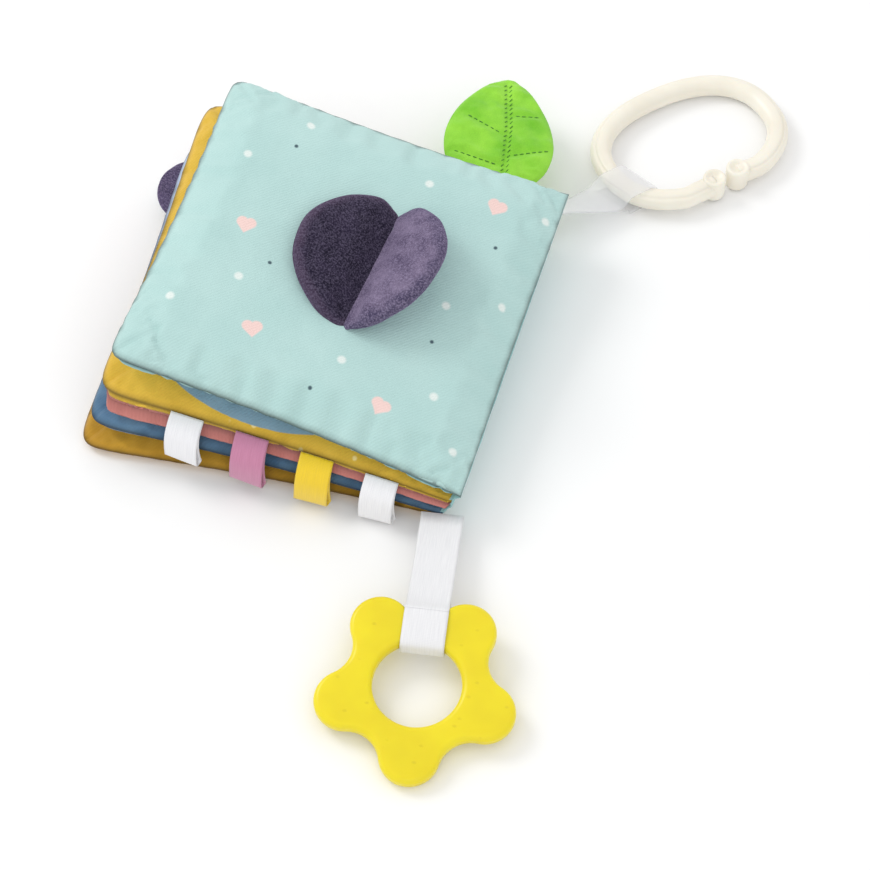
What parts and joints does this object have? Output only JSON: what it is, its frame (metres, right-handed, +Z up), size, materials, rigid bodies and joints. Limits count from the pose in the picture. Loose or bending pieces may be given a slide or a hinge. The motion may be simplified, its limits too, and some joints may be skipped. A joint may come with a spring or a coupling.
{
  "type": "crinkle cloth book",
  "caption": "Soft cloth book of padded leaves with a plush heart, satin tags, a plastic ring and a teether on ribbons.",
  "frame": {"origin": "centre of the bounding box's underside, on the surface that the book lies on", "axes": "+X from the fore-edge to the spine, +Y from the bottom edge with the tags to the top edge, +Z up"},
  "size_m": [0.2438, 0.3476, 0.0616],
  "materials": {
    "teal_twill": "matt woven cotton",
    "mustard_cloth": "matt woven cotton",
    "pink_cloth": "matt woven cotton",
    "slate_cloth": "matt woven cotton",
    "velour": "plush",
    "ear_backing_cloth": "matt woven cotton",
    "green_cloth": "matt woven cotton",
    "white_satin": "satin",
    "mauve_satin": "satin",
    "yellow_satin": "satin",
    "sheer_ribbon": "sheer",
    "wadding": "polyester fibre",
    "crinkle_film": "thin film",
    "ivory_plastic": "smooth",
    "yellow_silicone": "smooth"
  },
  "bodies": {
    "back_leaf_body": {"back_leaf_upper_cloth": "mustard_cloth", "back_leaf_lower_cloth": "mustard_cloth", "back_leaf_crinkle_film": "crinkle_film", "back_leaf_wadding": "wadding", "spine_cover": "teal_twill", "ear_velour": "velour", "ear_backing": "ear_backing_cloth"},
    "third_leaf_body": {"third_leaf_upper_cloth": "slate_cloth", "third_leaf_lower_cloth": "slate_cloth", "third_leaf_crinkle_film": "crinkle_film", "third_leaf_wadding": "wadding"},
    "second_leaf_body": {"second_leaf_upper_cloth": "mustard_cloth", "second_leaf_lower_cloth": "pink_cloth", "second_leaf_crinkle_film": "crinkle_film", "second_leaf_wadding": "wadding"},
    "front_cover_body": {"front_cover_upper_cloth": "teal_twill", "front_cover_lower_cloth": "teal_twill", "front_cover_crinkle_film": "crinkle_film", "front_cover_wadding": "wadding"},
    "heart_left_body": {"heart_left_velour": "velour", "heart_left_back_cloth": "velour", "heart_left_filling": "wadding"},
    "heart_right_body": {"heart_right_velour": "velour", "heart_right_back_cloth": "velour", "heart_right_filling": "wadding"},
    "green_leaf_body": {"green_leaf_front": "green_cloth", "green_leaf_back": "green_cloth", "green_leaf_crinkle_film": "crinkle_film"},
    "tag_1_body": {"tag_1": "white_satin"},
    "tag_2_body": {"tag_2": "yellow_satin"},
    "tag_3_body": {"tag_3": "mauve_satin"},
    "tag_4_body": {"tag_4": "white_satin"},
    "ring_ribbon_body": {"ring_ribbon": "sheer_ribbon"},
    "ring_body": {"ring": "ivory_plastic"},
    "teether_ribbon_body": {"teether_ribbon": "white_satin"},
    "teether_body": {"teether": "yellow_silicone"}
  },
  "joints": [
    {"name": "third_leaf_hinge", "type": "hinge", "parent": "back_leaf_body", "child": "third_leaf_body", "pos_m": [0.02328, 0.00627, 0.00637], "axis": [-0.0209, -0.9997, -0.0082], "range_deg": [-20, 0], "deforming": ["spine_cover"]},
    {"name": "second_leaf_hinge", "type": "hinge", "parent": "third_leaf_body", "child": "second_leaf_body", "pos_m": [0.02868, 0.00627, 0.01327], "axis": [-0.0558, -0.9978, -0.036], "range_deg": [-75, 0], "deforming": ["spine_cover"]},
    {"name": "front_cover_hinge", "type": "hinge", "parent": "second_leaf_body", "child": "front_cover_body", "pos_m": [0.03363, 0.00752, 0.02067], "axis": [0.0809, 0.9943, 0.0688], "range_deg": [0, 165], "deforming": ["spine_cover"]},
    {"name": "heart_left_wing", "type": "hinge", "parent": "front_cover_body", "child": "heart_left_body", "pos_m": [-0.02612, -0.01383, 0.04341], "axis": [-0.1602, -0.9865, -0.0333], "range_deg": [-50, 0]},
    {"name": "heart_right_wing", "type": "hinge", "parent": "front_cover_body", "child": "heart_right_body", "pos_m": [-0.02583, -0.01387, 0.04335], "axis": [0.1602, 0.9865, 0.0333], "range_deg": [-30, 0]},
    {"name": "green_leaf_lift", "type": "hinge", "parent": "second_leaf_body", "child": "green_leaf_body", "pos_m": [0.01122, 0.07933, 0.02418], "axis": [0.9907, -0.0693, -0.1167], "range_deg": [0, 70]},
    {"name": "tag_1_lift", "type": "hinge", "parent": "second_leaf_body", "child": "tag_1_body", "pos_m": [-0.00041, -0.05986, 0.01738], "axis": [-0.9907, 0.0693, 0.1167], "range_deg": [0, 80]},
    {"name": "tag_2_lift", "type": "hinge", "parent": "second_leaf_body", "child": "tag_2_body", "pos_m": [-0.02555, -0.0576, 0.02032], "axis": [-0.9907, 0.0693, 0.1167], "range_deg": [0, 80]},
    {"name": "tag_3_lift", "type": "hinge", "parent": "second_leaf_body", "child": "tag_3_body", "pos_m": [-0.05071, -0.05575, 0.02325], "axis": [-0.9907, 0.0693, 0.1167], "range_deg": [0, 80]},
    {"name": "tag_4_lift", "type": "hinge", "parent": "second_leaf_body", "child": "tag_4_body", "pos_m": [-0.07591, -0.05433, 0.02615], "axis": [-0.9907, 0.0693, 0.1167], "range_deg": [0, 80]},
    {"name": "ring_ribbon_lift", "type": "hinge", "parent": "back_leaf_body", "child": "ring_ribbon_body", "pos_m": [0.03419, 0.07672, 0.017], "axis": [0.7061, -0.7081, 0], "range_deg": [0, 35]},
    {"name": "ring_swing", "type": "hinge", "parent": "ring_ribbon_body", "child": "ring_body", "pos_m": [0.06191, 0.10437, 0.00632], "axis": [0.7061, -0.7081, 0], "range_deg": [0, 55], "deforming": ["ring_ribbon"]},
    {"name": "teether_ribbon_lift", "type": "hinge", "parent": "back_leaf_body", "child": "teether_ribbon_body", "pos_m": [0.02375, -0.06522, 0.0086], "axis": [-0.9959, -0.0906, 0], "range_deg": [0, 35]},
    {"name": "teether_swing", "type": "hinge", "parent": "teether_ribbon_body", "child": "teether_body", "pos_m": [0.02834, -0.1156, 0.01121], "axis": [-0.9959, -0.0906, 0], "range_deg": [0, 55], "deforming": ["teether_ribbon"]}
  ]
}
